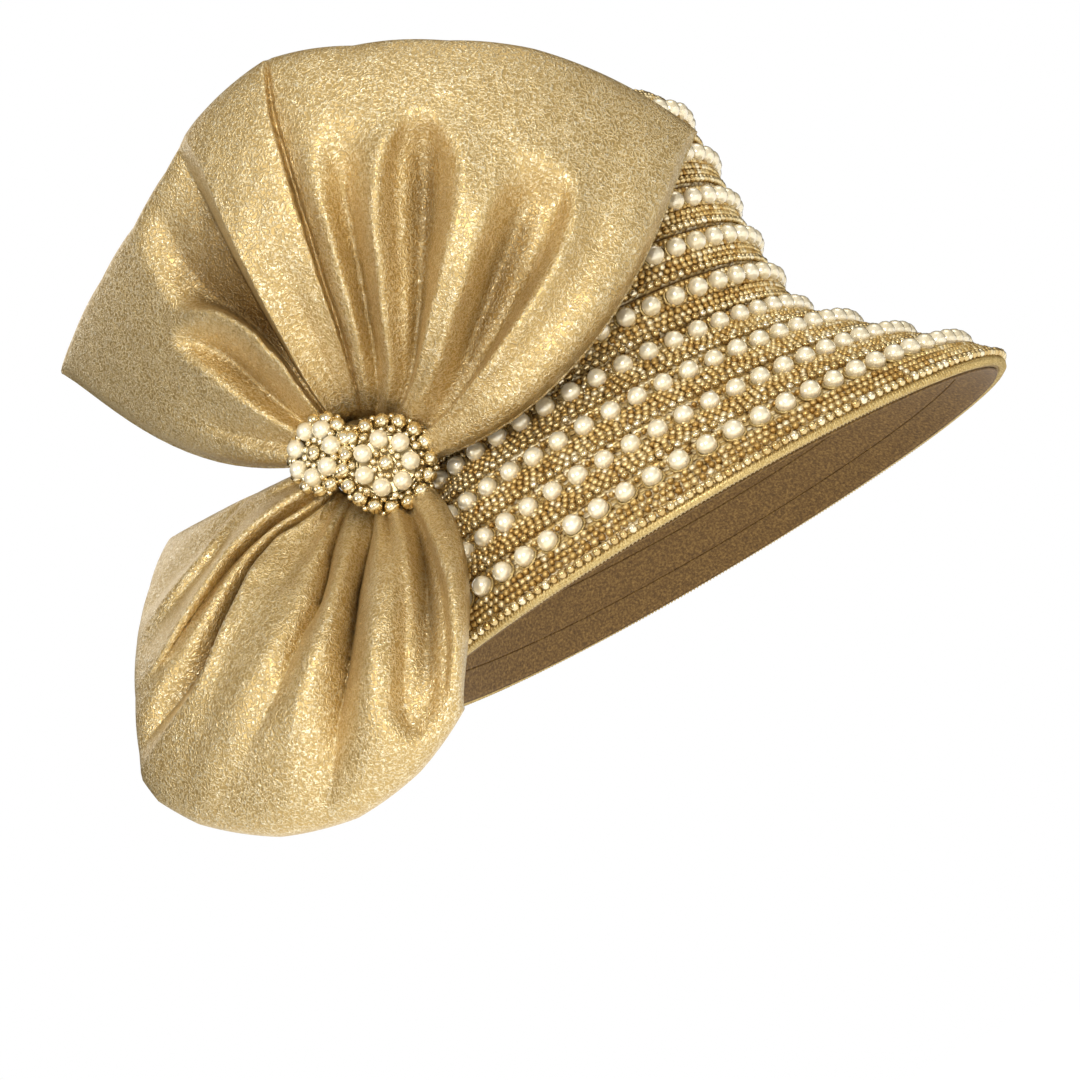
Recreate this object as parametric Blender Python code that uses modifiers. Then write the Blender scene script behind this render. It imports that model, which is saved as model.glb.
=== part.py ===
"""A church hat: a blocked crown and down-turned brim, ringed with pearls, and a gathered bow at its right side.

Metres, +Z up. The wearer faces -Y, so the wearer's right, where the bow sits, is -X.
The origin is the middle of the head, at the level where the hat rests on it.
"""

import math
from collections import namedtuple

import bmesh
import bpy
import numpy as np
from mathutils import Matrix, Vector

MM = 0.001
GAP = 0.35 * MM  # between pieces that touch
SEGMENTS = 24  # sides of every ring that goes round the hat

# The hat's rings, in millimetres: height above the brim's edge, half of the width and of the length,
# and how far the ring's middle lies behind the head's
Ring = namedtuple("Ring", "name height half_width half_length behind")
RINGS = (
    Ring("rim", 0, 137, 141, -21),
    Ring("row_1", 13, 130, 130, -18),
    Ring("row_2", 29, 118, 115, -13),
    Ring("row_3", 46, 105, 102, -8),
    Ring("row_4", 63, 92, 92, -3),
    Ring("row_5", 81, 87, 94, 0),
    Ring("row_6", 99, 86, 96, 1),
    Ring("row_7", 117, 86, 97, 1),
    Ring("row_8", 136, 85.5, 97, -1),
    Ring("row_9", 156, 84.5, 95, -3),
    Ring("shoulder", 167, 79, 89, -3),
    Ring("row_10", 174, 68, 77, -3),
    Ring("row_11", 178, 48, 55, -3),
    Ring("row_12", 180, 27, 31, -3),
    Ring("tip", 181, 6, 7, -3),
)
PEARL_RINGS = [ring for ring in RINGS if ring.name.startswith("row")]
SEAT_HEIGHT = 75  # of the head's level above the brim's edge
ROW_RISE = 0.03  # the rings climb this much for each millimetre towards the bow
RISE_FROM = 60  # height at which that climb is full
WALL = 2.5 * MM  # blocked cloth of the crown and brim
FACING_WALL = 1.0 * MM
FACING_TOP = "row_4"
FACING_GAP = 0.5 * MM
BINDING_RADIUS = 2.3 * MM
PEARL_RADIUS = 4.0 * MM

# The bow's own directions: it faces the front right
BOW_TURN = math.radians(36)
ACROSS = Vector((math.cos(BOW_TURN), -math.sin(BOW_TURN), 0))
OUT = Vector((-math.sin(BOW_TURN), -math.cos(BOW_TURN), 0))
UP = Vector((0, 0, 1))

BOW_ZERO = Vector((0, -16, 0))  # where the bow's measures start, in front of the head's middle

# Millimetres across, above the brim's edge and out
KNOT = (-97.5, 90, 55)
KNOT_SIZE = (16, 16, 18)
CLOTH = 1.5 * MM
LOOP_START = 16.4  # from the knot's middle to the gathered end of a loop
HALF_APART = 2.3  # half of the space between a loop's two layers, at its edges
SIDE_BEND = 1.3  # how a fold swings from its direction at the knot to that at the outer edge

# A loop's outer edge: the direction from the knot in degrees, and its distance in millimetres
Reach = namedtuple("Reach", "direction distance")
# A hollow between two folds: its place across the loop from 0 to 1, its half width near the knot and where
# it is widest, how far out it ends, and how much of the loop's fullness it takes away
Hollow = namedtuple("Hollow", "place narrow wide ends deep")
# The knot angles are those of the loop's two sides where they leave the knot
Loop = namedtuple("Loop", "knot_angles reaches hollows fullness columns")

UPPER = Loop(
    knot_angles=(158, -40),
    reaches=(
        Reach(130, 154), Reach(125, 149), Reach(115, 141), Reach(105, 137), Reach(95, 140), Reach(87, 146),
        Reach(73, 154), Reach(60, 153), Reach(47, 159), Reach(36, 168), Reach(25, 175), Reach(14, 182),
    ),
    hollows=(
        Hollow(0.19, 0.04, 0.07, 0.66, 0.70),
        Hollow(0.30, 0.03, 0.05, 1.00, 0.80),
        Hollow(0.40, 0.03, 0.03, 0.50, 0.50),
        Hollow(0.49, 0.02, 0.03, 1.00, 0.60),
        Hollow(0.56, 0.02, 0.03, 0.80, 0.60),
        Hollow(0.67, 0.03, 0.06, 0.82, 0.85),
        Hollow(0.845, 0.03, 0.06, 0.74, 0.90),
    ),
    fullness=16,
    columns=34,
)
LOWER = Loop(
    knot_angles=(166, 312),
    reaches=(
        Reach(168, 97), Reach(176, 105), Reach(187, 118), Reach(196, 131), Reach(203, 145), Reach(206, 152),
        Reach(210, 155), Reach(217, 155), Reach(230, 150), Reach(242, 141), Reach(253, 128), Reach(264, 112),
    ),
    hollows=(
        Hollow(0.11, 0.04, 0.06, 0.80, 0.50),
        Hollow(0.27, 0.03, 0.05, 1.00, 0.80),
        Hollow(0.50, 0.02, 0.04, 0.60, 0.50),
        Hollow(0.66, 0.02, 0.03, 0.90, 0.80),
        Hollow(0.81, 0.03, 0.08, 0.88, 0.85),
    ),
    fullness=15,
    columns=26,
)
# Rows of a loop's cloth from the knot over the outer fold and back: share of the reach, and the layer,
# from 1 in front through 0 at the fold to -1 behind
FRONT_ROWS = (0, 0.12, 0.26, 0.42, 0.58, 0.72, 0.84, 0.94, 0.985)
BACK_ROWS = (0.985, 0.85, 0.57, 0.28, 0)
LAYER_ROWS = [(share, 1) for share in FRONT_ROWS] + [(1, 0)] + [(share, -1) for share in BACK_ROWS]
SWELL_LENGTHWAYS = 0.7  # powers of the two arches that a loop's fullness follows
SWELL_ACROSS = 0.5

# The upper loop's sheet: how far out its middle stands, where that middle is, how slowly it falls back to
# both sides, and how the knot draws it in
WRAP_OUT = 101
WRAP_MIDDLE = -10
WRAP_ROUND = 246
DRAWN_IN = 0.85
DRAWN_IN_POWER = 8
# The lower loop's sheet: how far the brim pushes it out, over what height, and how it falls back to its sides
LEAN_OUT = 88
LEAN_HEIGHT = 60
LEAN_POWER = 4
FALL_BACK = 0.5
FALL_BACK_ROUND = 20

# The brooch: two flowers of pearls that share the knot
Flower = namedtuple("Flower", "name place faces base_radius")
FLOWERS = (
    Flower("front_flower", (7.0, -10.1, 18.6), (0, 0, 1), 14),
    Flower("side_flower", (-12.1, 6.9, 11.9), (-0.50, 0.29, 0.816), 11.5),
)
FLOWER_PEARLS = 7
FLOWER_RING = 9.6
FLOWER_DOME = 3.0
FLOWER_SLOPE = 3.0
FLOWER_SIDES = 20
KNOT_SIDES = (14, 8)  # round and along a ball
BEAD_SIDES = (8, 5)
CENTRE_BEAD_RADIUS = 3.2 * MM


def reset_scene():
    for obj in list(bpy.data.objects):
        bpy.data.objects.remove(obj, do_unlink=True)
    collection = bpy.data.collections.new("church_hat")
    bpy.context.scene.collection.children.link(collection)
    return collection


def make_material(name, colour, roughness, metallic=0.0):
    material = bpy.data.materials.new(name)
    material.use_nodes = True
    shader = material.node_tree.nodes["Principled BSDF"]
    shader.inputs["Base Color"].default_value = (*colour, 1)
    shader.inputs["Roughness"].default_value = roughness
    shader.inputs["Metallic"].default_value = metallic
    return material


def add_piece(name, data, material):
    piece = bpy.data.objects.new(name, data)
    data.materials.append(material)
    HAT.objects.link(piece)
    return piece


def smooth(mesh, angle=40):
    mesh.shade_smooth()
    mesh.set_sharp_from_angle(angle=math.radians(angle))


def ring_point(ring, angle):
    """A point of the ring: angle 0 is the front, and a quarter turn is the wearer's left."""
    across = ring.half_width * math.sin(angle)
    back = ring.behind - ring.half_length * math.cos(angle)
    climb = -ROW_RISE * min(ring.height / RISE_FROM, 1) * across
    return Vector((across, back, ring.height - SEAT_HEIGHT + climb)) * MM


def ring_frame(index, angle):
    """The outer surface's point at a ring, its outward direction, and the way down towards the brim."""
    ring = RINGS[index]
    above = RINGS[min(index + 1, len(RINGS) - 1)]
    below = RINGS[max(index - 1, 0)]
    point = ring_point(ring, angle)
    down = (ring_point(below, angle) - ring_point(above, angle)).normalized()
    quarter = Vector((ring.half_width * math.cos(angle), ring.half_length * math.sin(angle), 0))
    round_hat = quarter.normalized()
    return point, round_hat.cross(-down).normalized(), down


def angles(count):
    return [2 * math.pi * step / count for step in range(count)]


def hat_surface(name, rings, close_top):
    """The open outer surface through the rings, as a mesh."""
    shell = bmesh.new()
    loops = [[shell.verts.new(ring_point(ring, angle)) for angle in angles(SEGMENTS)] for ring in rings]
    for lower, upper in zip(loops, loops[1:]):
        for step in range(SEGMENTS):
            after = (step + 1) % SEGMENTS
            shell.faces.new((lower[step], lower[after], upper[after], upper[step]))
    if close_top:
        shell.faces.new(loops[-1])
    mesh = bpy.data.meshes.new(name)
    shell.to_mesh(mesh)
    shell.free()
    return mesh


def add_wall(piece, thickness):
    wall = piece.modifiers.new("wall", "SOLIDIFY")
    wall.thickness = thickness
    wall.offset = -1


def make_hat_body():
    mesh = hat_surface("hat_body", RINGS, close_top=True)
    smooth(mesh)
    body = add_piece("hat_body", mesh, make_material("beaded_base_cloth", (0.35, 0.25, 0.10), 0.6))
    add_wall(body, WALL)


def make_brim_facing():
    """The underside's cloth lies just inside the brim's wall."""
    names = [ring.name for ring in RINGS]
    mesh = hat_surface("brim_facing", RINGS[: names.index(FACING_TOP) + 1], close_top=False)
    smooth(mesh)
    facing = add_piece("brim_facing", mesh, make_material("facing_cloth", (0.20, 0.13, 0.045), 0.8))
    inset = facing.modifiers.new("inset", "DISPLACE")
    inset.mid_level = 0
    inset.strength = -(WALL + FACING_GAP)
    add_wall(facing, FACING_WALL)


def closed_tube(name, points, radius, material):
    curve = bpy.data.curves.new(name, "CURVE")
    curve.dimensions = "3D"
    curve.bevel_depth = radius
    curve.bevel_resolution = 2
    spline = curve.splines.new("POLY")
    spline.points.add(len(points) - 1)
    for control, place in zip(spline.points, points):
        control.co = (*place, 1)
    spline.use_cyclic_u = True
    add_piece(name, curve, material)


def make_edge_binding():
    braid = make_material("binding_braid", (0.60, 0.46, 0.20), 0.5)
    edge = WALL + FACING_GAP + FACING_WALL
    points = []
    for angle in angles(SEGMENTS):
        place, outward, down = ring_frame(0, angle)
        points.append(place + down * (BINDING_RADIUS + 2 * GAP) - outward * edge / 2)
    closed_tube("edge_binding", points, BINDING_RADIUS, braid)


def make_pearl_strands():
    pearl = make_material("pearl_strand", (0.90, 0.86, 0.74), 0.25)
    for number, ring in enumerate(PEARL_RINGS, 1):
        index = RINGS.index(ring)
        points = []
        for angle in angles(SEGMENTS):
            place, outward, _ = ring_frame(index, angle)
            points.append(place + outward * (PEARL_RADIUS + GAP))
        closed_tube(f"pearl_strand_{number:02d}", points, PEARL_RADIUS, pearl)


def bow_point(across, height, out):
    return (BOW_ZERO + ACROSS * across + UP * (height - SEAT_HEIGHT) + OUT * out) * MM


def upper_depth(across, height, share):
    """The upper loop wraps round the crown's front and sweeps back behind the knot, which draws it in."""
    wrap = WRAP_OUT - (across - WRAP_MIDDLE) ** 2 / WRAP_ROUND
    return KNOT[2] + (wrap - KNOT[2]) * (1 - DRAWN_IN * (1 - share) ** DRAWN_IN_POWER)


def lower_depth(across, height, share):
    """The lower loop is pushed out by the brim and falls back beside it."""
    lean = LEAN_OUT * (1 - math.exp((height - KNOT[1]) / LEAN_HEIGHT)) * (1 - (1 - share) ** LEAN_POWER)
    sideways = math.hypot(across - KNOT[0], FALL_BACK_ROUND) - FALL_BACK_ROUND
    return KNOT[2] + lean - FALL_BACK * sideways


def hollow_share(hollow, place, share):
    """How far a hollow is open at this place across and this share of the reach, from 0 to 1."""
    if share >= hollow.ends < 1:
        return 0
    along = share / hollow.ends
    ends_round = math.sqrt(1 - along**4) if hollow.ends < 1 else 1
    half = (hollow.narrow + (hollow.wide - hollow.narrow) * along) * ends_round
    offset = (place - hollow.place) / half
    return (1 - offset * offset) ** 2 * min(1, 3 * ends_round) if abs(offset) < 1 else 0


def loop_point(loop, depth, place, share, layer):
    """A point of a loop's cloth: place runs across it, share from the knot out, layer front to back."""
    first, last = loop.reaches[0].direction, loop.reaches[-1].direction
    edge_angle = first + (last - first) * place
    knot_angle = loop.knot_angles[0] + (loop.knot_angles[1] - loop.knot_angles[0]) * place
    angle = math.radians(edge_angle + (knot_angle - edge_angle) * (1 - share) ** SIDE_BEND)
    turns = [abs(reach.direction - first) for reach in loop.reaches]
    reach = float(np.interp(abs(edge_angle - first), turns, [reach.distance for reach in loop.reaches]))
    distance = LOOP_START + (reach - LOOP_START) * share
    across = KNOT[0] + distance * math.cos(angle)
    height = KNOT[1] + distance * math.sin(angle)
    swell = math.sin(math.pi * share) ** SWELL_LENGTHWAYS * math.sin(math.pi * place) ** SWELL_ACROSS
    out = depth(across, height, share) + layer * HALF_APART
    if layer > 0:
        taken = sum(hollow.deep * hollow_share(hollow, place, share) for hollow in loop.hollows)
        out += loop.fullness * swell * (1 - min(taken, 0.95))
    return bow_point(across, height, out)


def make_loop(name, loop, depth, material):
    """A sheet that leaves the knot, turns over at its outer edge and comes back behind."""
    rows = len(LAYER_ROWS)
    sheet = bmesh.new()
    bmesh.ops.create_grid(sheet, x_segments=loop.columns, y_segments=rows - 1, size=0.5)
    for vert in sheet.verts:
        place = vert.co.x + 0.5
        share, layer = LAYER_ROWS[round((vert.co.y + 0.5) * (rows - 1))]
        vert.co = loop_point(loop, depth, place, share, layer)
    mesh = bpy.data.meshes.new(name)
    sheet.to_mesh(mesh)
    sheet.free()
    smooth(mesh, 60)
    piece = add_piece(name, mesh, material)
    wall = piece.modifiers.new("cloth", "SOLIDIFY")
    wall.thickness = CLOTH
    wall.offset = 0


def bow_matrix():
    """Turns +X, +Y and +Z to across, up and out, at the knot's middle."""
    return Matrix.Translation(bow_point(*KNOT)) @ Matrix((ACROSS, UP, OUT)).transposed().to_4x4()


def ball(name, half_sizes, place, material, sides=BEAD_SIDES):
    """A ball stretched to its three half sizes, turned and set by the place's matrix."""
    shape = bmesh.new()
    stretch = Matrix.Diagonal((*half_sizes, 1))
    bmesh.ops.create_uvsphere(
        shape, u_segments=sides[0], v_segments=sides[1], radius=1, matrix=place @ stretch
    )
    mesh = bpy.data.meshes.new(name)
    shape.to_mesh(mesh)
    shape.free()
    mesh.shade_smooth()
    return add_piece(name, mesh, material)


def make_knot(material):
    ball("knot_wrap", [half * MM for half in KNOT_SIZE], bow_matrix(), material, KNOT_SIDES)


def make_flower(flower, pearl, gold):
    """A domed seat with a ring of pearls round a gold bead."""
    facing = Vector(flower.faces).normalized()
    turn = facing.to_track_quat("Z", "Y").to_matrix().to_4x4()
    seat = bow_matrix() @ Matrix.Translation(Vector(flower.place) * MM) @ turn
    base = bmesh.new()
    bmesh.ops.create_cone(
        base, cap_ends=True, segments=FLOWER_SIDES, depth=FLOWER_DOME * MM,
        radius1=flower.base_radius * MM, radius2=(flower.base_radius - FLOWER_SLOPE) * MM,
        matrix=seat @ Matrix.Translation((0, 0, FLOWER_DOME / 2 * MM)),
    )
    mesh = bpy.data.meshes.new(flower.name + "_base")
    base.to_mesh(mesh)
    base.free()
    add_piece(flower.name + "_base", mesh, gold)
    height = FLOWER_DOME * MM + PEARL_RADIUS + GAP
    for number, angle in enumerate(angles(FLOWER_PEARLS), 1):
        place = Vector((FLOWER_RING * MM * math.cos(angle), FLOWER_RING * MM * math.sin(angle), height))
        ball(f"{flower.name}_pearl_{number}", [PEARL_RADIUS] * 3, seat @ Matrix.Translation(place), pearl)
    place = Vector((0, 0, FLOWER_DOME * MM + CENTRE_BEAD_RADIUS + GAP))
    ball(flower.name + "_centre_bead", [CENTRE_BEAD_RADIUS] * 3, seat @ Matrix.Translation(place), gold)


def make_bow():
    lame = make_material("gold_lame", (0.60, 0.43, 0.16), 0.35, 0.6)
    make_loop("upper_loop", UPPER, upper_depth, lame)
    make_loop("lower_loop", LOWER, lower_depth, lame)
    make_knot(lame)
    pearl = make_material("brooch_pearl", (0.90, 0.86, 0.76), 0.2)
    gold = make_material("antique_gold", (0.62, 0.45, 0.18), 0.3, 1.0)
    for flower in FLOWERS:
        make_flower(flower, pearl, gold)


HAT = reset_scene()
make_hat_body()
make_brim_facing()
make_edge_binding()
make_pearl_strands()
make_bow()
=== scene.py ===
"""A church hat with a side bow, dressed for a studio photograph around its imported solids.

Metres, +Z up. The wearer faces -Y, so the wearer's right, where the bow sits, is -X.
Tables are in millimetres.
"""

import math
from collections import namedtuple

import bmesh
import bpy
import numpy as np
from mathutils import Matrix, Vector


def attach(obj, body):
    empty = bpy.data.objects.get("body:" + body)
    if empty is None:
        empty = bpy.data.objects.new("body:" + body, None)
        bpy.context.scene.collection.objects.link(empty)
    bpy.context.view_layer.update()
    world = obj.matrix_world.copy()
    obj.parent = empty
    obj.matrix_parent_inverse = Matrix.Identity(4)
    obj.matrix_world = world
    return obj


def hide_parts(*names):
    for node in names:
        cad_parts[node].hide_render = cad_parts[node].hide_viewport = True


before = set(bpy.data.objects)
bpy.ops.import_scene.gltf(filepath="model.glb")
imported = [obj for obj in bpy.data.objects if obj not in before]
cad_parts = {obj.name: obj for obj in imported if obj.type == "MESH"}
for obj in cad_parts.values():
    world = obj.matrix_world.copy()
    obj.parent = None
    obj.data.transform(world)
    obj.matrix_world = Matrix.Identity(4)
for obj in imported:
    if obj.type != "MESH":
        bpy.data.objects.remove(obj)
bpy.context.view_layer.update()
MM = 0.001


# Crown and brim
# One shell of stiffened cloth, blocked to a tall crown and a brim that turns down all round.
# The beaded braid is sewn on it and covers it, so that only its inside could be seen.

SEAT_HEIGHT = 75  # of the head's level above the brim's edge
ROW_RISE = 0.03  # the rounds climb this much for each millimetre towards the bow
RISE_FROM = 60  # height at which that climb is full
WALL = 2.5
Ring = namedtuple("Ring", "name height half_width half_length behind")
RINGS = (
    Ring("rim", 0, 137, 141, -21),
    Ring("row_1", 13, 130, 130, -18),
    Ring("row_2", 29, 118, 115, -13),
    Ring("row_3", 46, 105, 102, -8),
    Ring("row_4", 63, 92, 92, -3),
    Ring("row_5", 81, 87, 94, 0),
    Ring("row_6", 99, 86, 96, 1),
    Ring("row_7", 117, 86, 97, 1),
    Ring("row_8", 136, 85.5, 97, -1),
    Ring("row_9", 156, 84.5, 95, -3),
    Ring("shoulder", 167, 79, 89, -3),
    Ring("row_10", 174, 68, 77, -3),
    Ring("row_11", 178, 48, 55, -3),
    Ring("row_12", 180, 27, 31, -3),
    Ring("tip", 181, 6, 7, -3),
)
RING_LEVEL = {ring.name: level for level, ring in enumerate(RINGS)}
TOP_LEVEL = len(RINGS) - 1
BODY_SIDES = 96
BODY_STEPS = 3  # faces between two rings
BODY_THREADS = (480, 250)  # round the hat, and from the edge to the top
BODY_THREAD = 1.2  # distance between threads at the crown's top


def hat_points(level, angle, outward=0.0):
    """Points of the hat's outer surface, in metres: level counts the rings, and angle 0 is the front."""
    level, angle = np.broadcast_arrays(np.asarray(level, float), np.asarray(angle, float))
    rows = np.array([ring[1:] for ring in RINGS], float)
    rows = np.vstack([2 * rows[0] - rows[1], rows, 2 * rows[-1] - rows[-2]])
    below = np.clip(np.floor(level).astype(int), 0, TOP_LEVEL - 1)
    share = (level - below)[..., None]
    before, start, end, after = (rows[below + step] for step in range(4))
    bend = 2 * before - 5 * start + 4 * end - after
    twist = 3 * start - before - 3 * end + after
    curve = 0.5 * (2 * start + (end - before) * share + bend * share**2 + twist * share**3)
    height, half_width, half_length, behind = np.moveaxis(curve, -1, 0)
    across = half_width * np.sin(angle)
    climb = -ROW_RISE * np.clip(height / RISE_FROM, 0, 1) * across
    points = np.stack([across, behind - half_length * np.cos(angle), height - SEAT_HEIGHT + climb], -1) * MM
    if np.any(outward):
        points = points + hat_normals(level, angle) * np.asarray(outward)[..., None] * MM
    return points


def hat_normals(level, angle):
    """The outward direction of the hat's surface."""
    small = 0.01
    high = np.clip(level + small, 0, TOP_LEVEL)
    low = np.clip(level - small, 0, TOP_LEVEL)
    upward = hat_points(high, angle) - hat_points(low, angle)
    round_hat = hat_points(level, angle + small) - hat_points(level, angle - small)
    normal = np.cross(round_hat, upward)
    return normal / np.linalg.norm(normal, axis=-1, keepdims=True)


def turns_round(count):
    return np.arange(count) * 2 * math.pi / count


def grid_mesh(name, points, closed_round=False, scale=(1, 1), row_at=None):
    """A mesh of quads over a grid of points, rows by columns. Its UV map counts scale from 0 on, along rows
    that lie evenly or where row_at says."""
    rows, columns = points.shape[:2]
    row_at = np.linspace(0, 1, rows) if row_at is None else row_at
    index = np.arange(rows * columns).reshape(rows, columns)
    after = np.roll(index, -1, axis=1) if closed_round else index[:, 1:]
    here = index if closed_round else index[:, :-1]
    faces = np.stack([here[:-1], after[:-1], after[1:], here[1:]], -1).reshape(-1, 4)
    mesh = bpy.data.meshes.new(name)
    mesh.from_pydata(points.reshape(-1, 3), [], faces.tolist())
    step = columns if closed_round else columns - 1
    row, column = np.divmod(np.arange(len(faces)), step)
    corners = np.stack([column, row, column + 1, row, column + 1, row + 1, column, row + 1], -1)
    corners = corners.reshape(-1, 2)
    uv = np.stack([corners[:, 0] / step, row_at[corners[:, 1]]], -1) * scale
    mesh.uv_layers.new(name="UVMap").data.foreach_set("uv", uv.astype(np.float32).ravel())
    mesh.shade_smooth()
    return mesh


def mark(mesh, name, values):
    """Gives each point of a mesh a number or a vector."""
    values = np.asarray(values, np.float32)
    kind, field = ("FLOAT_VECTOR", "vector") if values.shape[-1:] == (3,) else ("FLOAT", "value")
    mesh.attributes.new(name, kind, "POINT").data.foreach_set(field, values.ravel())


def close_top(mesh, sides, thread):
    """Fills the hole over the last round of points, at the crown's top, with threads that lie straight."""
    cap = bmesh.new()
    cap.from_mesh(mesh)
    cap.verts.ensure_lookup_table()
    uv = cap.loops.layers.uv.active
    for corner in cap.faces.new(cap.verts[-sides:]).loops:
        corner[uv].uv = corner.vert.co.xy / (thread * MM)
    cap.to_mesh(mesh)
    cap.free()


def add_object(name, data):
    made = bpy.data.objects.new(name, data)
    bpy.context.scene.collection.objects.link(made)
    return made


def add_piece(name, mesh, material, slot, *replaced, thickness=0):
    """A piece of the hat, in the place of the solids that it stands for. Cloth is thick inwards."""
    piece = add_object(name, mesh)
    if material:
        mesh.materials.append(material)
    if thickness:
        wall = piece.modifiers.new("wall", "SOLIDIFY")
        wall.thickness = thickness * MM
        wall.offset = -1
    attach(piece, "root")
    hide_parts(*replaced)
    return piece


def add_node(tree, kind, inputs=None, **settings):
    """Adds a node, sets it up, and links or fills its inputs, which are named or counted."""
    node = tree.nodes.new(kind)
    for key, value in settings.items():
        setattr(node, key, value)
    for socket, value in (inputs or {}).items():
        if isinstance(value, bpy.types.NodeSocket):
            tree.links.new(value, node.inputs[socket])
        else:
            node.inputs[socket].default_value = value
    return node


def value_of(tree, kind, inputs=None, **settings):
    """The first output of a new node."""
    return add_node(tree, kind, inputs, **settings).outputs[0]


def maths(tree, operation, *values):
    return value_of(tree, "ShaderNodeMath", dict(enumerate(values)), operation=operation)


def remap(tree, value, low, high, new_low=0.0, new_high=1.0, **settings):
    """A value with its low to high stretched to the new ones."""
    inputs = {"Value": value, "From Min": low, "From Max": high, "To Min": new_low, "To Max": new_high}
    return value_of(tree, "ShaderNodeMapRange", inputs, **settings)


def place_in(tree, space="Object"):
    return add_node(tree, "ShaderNodeTexCoord").outputs[space]


def noise(tree, scale, detail, noise_type="FBM", **inputs):
    """Noise through the whole piece, with scale cells to the metre."""
    inputs = {"Vector": place_in(tree), "Scale": scale, "Detail": detail, **inputs}
    return value_of(tree, "ShaderNodeTexNoise", inputs, noise_type=noise_type)


def attribute(tree, name):
    return add_node(tree, "ShaderNodeAttribute", attribute_name=name).outputs["Fac"]


def bump(tree, height, strength, distance, invert=False, **inputs):
    """The normal over a height. Distance is in millimetres."""
    inputs = {"Height": height, "Strength": strength, "Distance": distance * MM, **inputs}
    return value_of(tree, "ShaderNodeBump", inputs, invert=invert)


def mix(tree, share, one, other):
    """A colour between two colours."""
    return add_node(tree, "ShaderNodeMix", {0: share, 6: one, 7: other}, data_type="RGBA").outputs[2]


def colour(code):
    """A linear colour from an sRGB hex code."""
    parts = [int(code[i : i + 2], 16) / 255 for i in (1, 3, 5)]
    return (*(p / 12.92 if p <= 0.04045 else ((p + 0.055) / 1.055) ** 2.4 for p in parts), 1)


def ramp(tree, factor, *stops):
    """A colour ramp's output: each stop is a position and a hex code."""
    node = add_node(tree, "ShaderNodeValToRGB", {"Fac": factor})
    elements = node.color_ramp.elements
    while len(elements) < len(stops):
        elements.new(0.5)
    for element, (position, code) in zip(elements, stops):
        element.position = position
        element.color = colour(code)
    return node.outputs["Color"]


def new_material(name, **values):
    """A material with its shader's values set, and its tree to build on."""
    material = bpy.data.materials.new(name)
    material.use_nodes = True
    for key, value in values.items():
        material.node_tree.nodes["Principled BSDF"].inputs[key.replace("_", " ")].default_value = value
    return material, material.node_tree


def paint(tree, **sockets):
    """Links outputs to the shader's inputs of those names."""
    for key, value in sockets.items():
        tree.links.new(value, tree.nodes["Principled BSDF"].inputs[key.replace("_", " ")])


# Plain weave stiffened with size: threads 1.2 mm apart both ways, dull pale gold
blocked_cloth, tree = new_material("stiffened_plain_weave", Metallic=0.2, Roughness=0.7)
threads = add_node(tree, "ShaderNodeSeparateXYZ", {"Vector": place_in(tree, "UV")})
warp, weft = (maths(tree, "PINGPONG", threads.outputs[axis], 0.5) for axis in "XY")
weave = maths(tree, "ADD", warp, weft)
shade = ramp(tree, weave, (0.1, "#6E5527"), (0.8, "#B3965A"))
paint(tree, Base_Color=shade, Normal=bump(tree, weave, 0.5, 0.3))

levels = np.linspace(0, TOP_LEVEL, BODY_STEPS * TOP_LEVEL + 1)
body_turns = turns_round(BODY_SIDES)
body_mesh = grid_mesh(
    "crown_and_brim", hat_points(levels[:, None], body_turns), closed_round=True, scale=BODY_THREADS
)
close_top(body_mesh, BODY_SIDES, BODY_THREAD)
add_piece("crown_and_brim", body_mesh, blocked_cloth, "beaded_base_cloth", "hat_body", thickness=WALL)


# Brim facing
# The cloth under the brim: narrow rounds of brown-gold cloth, each stitched to the next.
# It lies just inside the shell, from the edge up to the head.

FACING_INSET = 3.0
FACING_WALL = 1.0
FACING_LEVELS = 33
FACING_THREADS = 600  # round the hat
FACING_ROUND = 9.0  # width of a round of cloth
FACING_LENGTH = 78.0  # from the edge to the head, along the cloth

# Brushed metallic cloth, as the photo shows it in shade: a short nap that blurs every light
facing_cloth, tree = new_material("brushed_metallic_cloth", Metallic=0.35, Roughness=0.6)
nap = noise(tree, 900.0, 3.0, Roughness=0.6)
along = add_node(tree, "ShaderNodeSeparateXYZ", {"Vector": place_in(tree, "UV")}).outputs["Y"]
seam = remap(tree, maths(tree, "PINGPONG", along, 1.0), 0.0, 0.1, interpolation_type="SMOOTHSTEP")
paint(
    tree, Base_Color=ramp(tree, nap, (0.3, "#523913"), (0.5, "#6D5024"), (0.72, "#94743D")),
    Normal=bump(tree, nap, 0.5, 0.25, Normal=bump(tree, seam, 0.7, 0.8)),
)

levels = np.linspace(0, RING_LEVEL["row_4"], FACING_LEVELS)
facing_mesh = grid_mesh(
    "brim_facing_cloth", hat_points(levels[:, None], body_turns, -FACING_INSET), closed_round=True,
    scale=(FACING_THREADS, FACING_LENGTH / FACING_ROUND),
)
add_piece(
    "brim_facing_cloth", facing_mesh, facing_cloth, "facing_cloth", "brim_facing", thickness=FACING_WALL
)


# Edge binding
# A cord wound with pale metal thread, sewn round the brim's edge over the shell and the facing.
# Each turn of the thread lies slanting across the cord.

BINDING_RADIUS = 1.9
BINDING_DROP = 0.35  # of the cord's middle below the shell's edge, which the cord covers
BINDING_OUTSET = 0.2  # of the cord's middle from the shell's outside
BINDING_TURN = 1.7  # length of the cord that one turn of the winding takes
BINDING_SLANT = 24.0  # degrees
THREAD_RADIUS = 0.62
CORD_SIDES = 8
THREAD_SIDES = 3
BINDING_POINTS = 360


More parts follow.
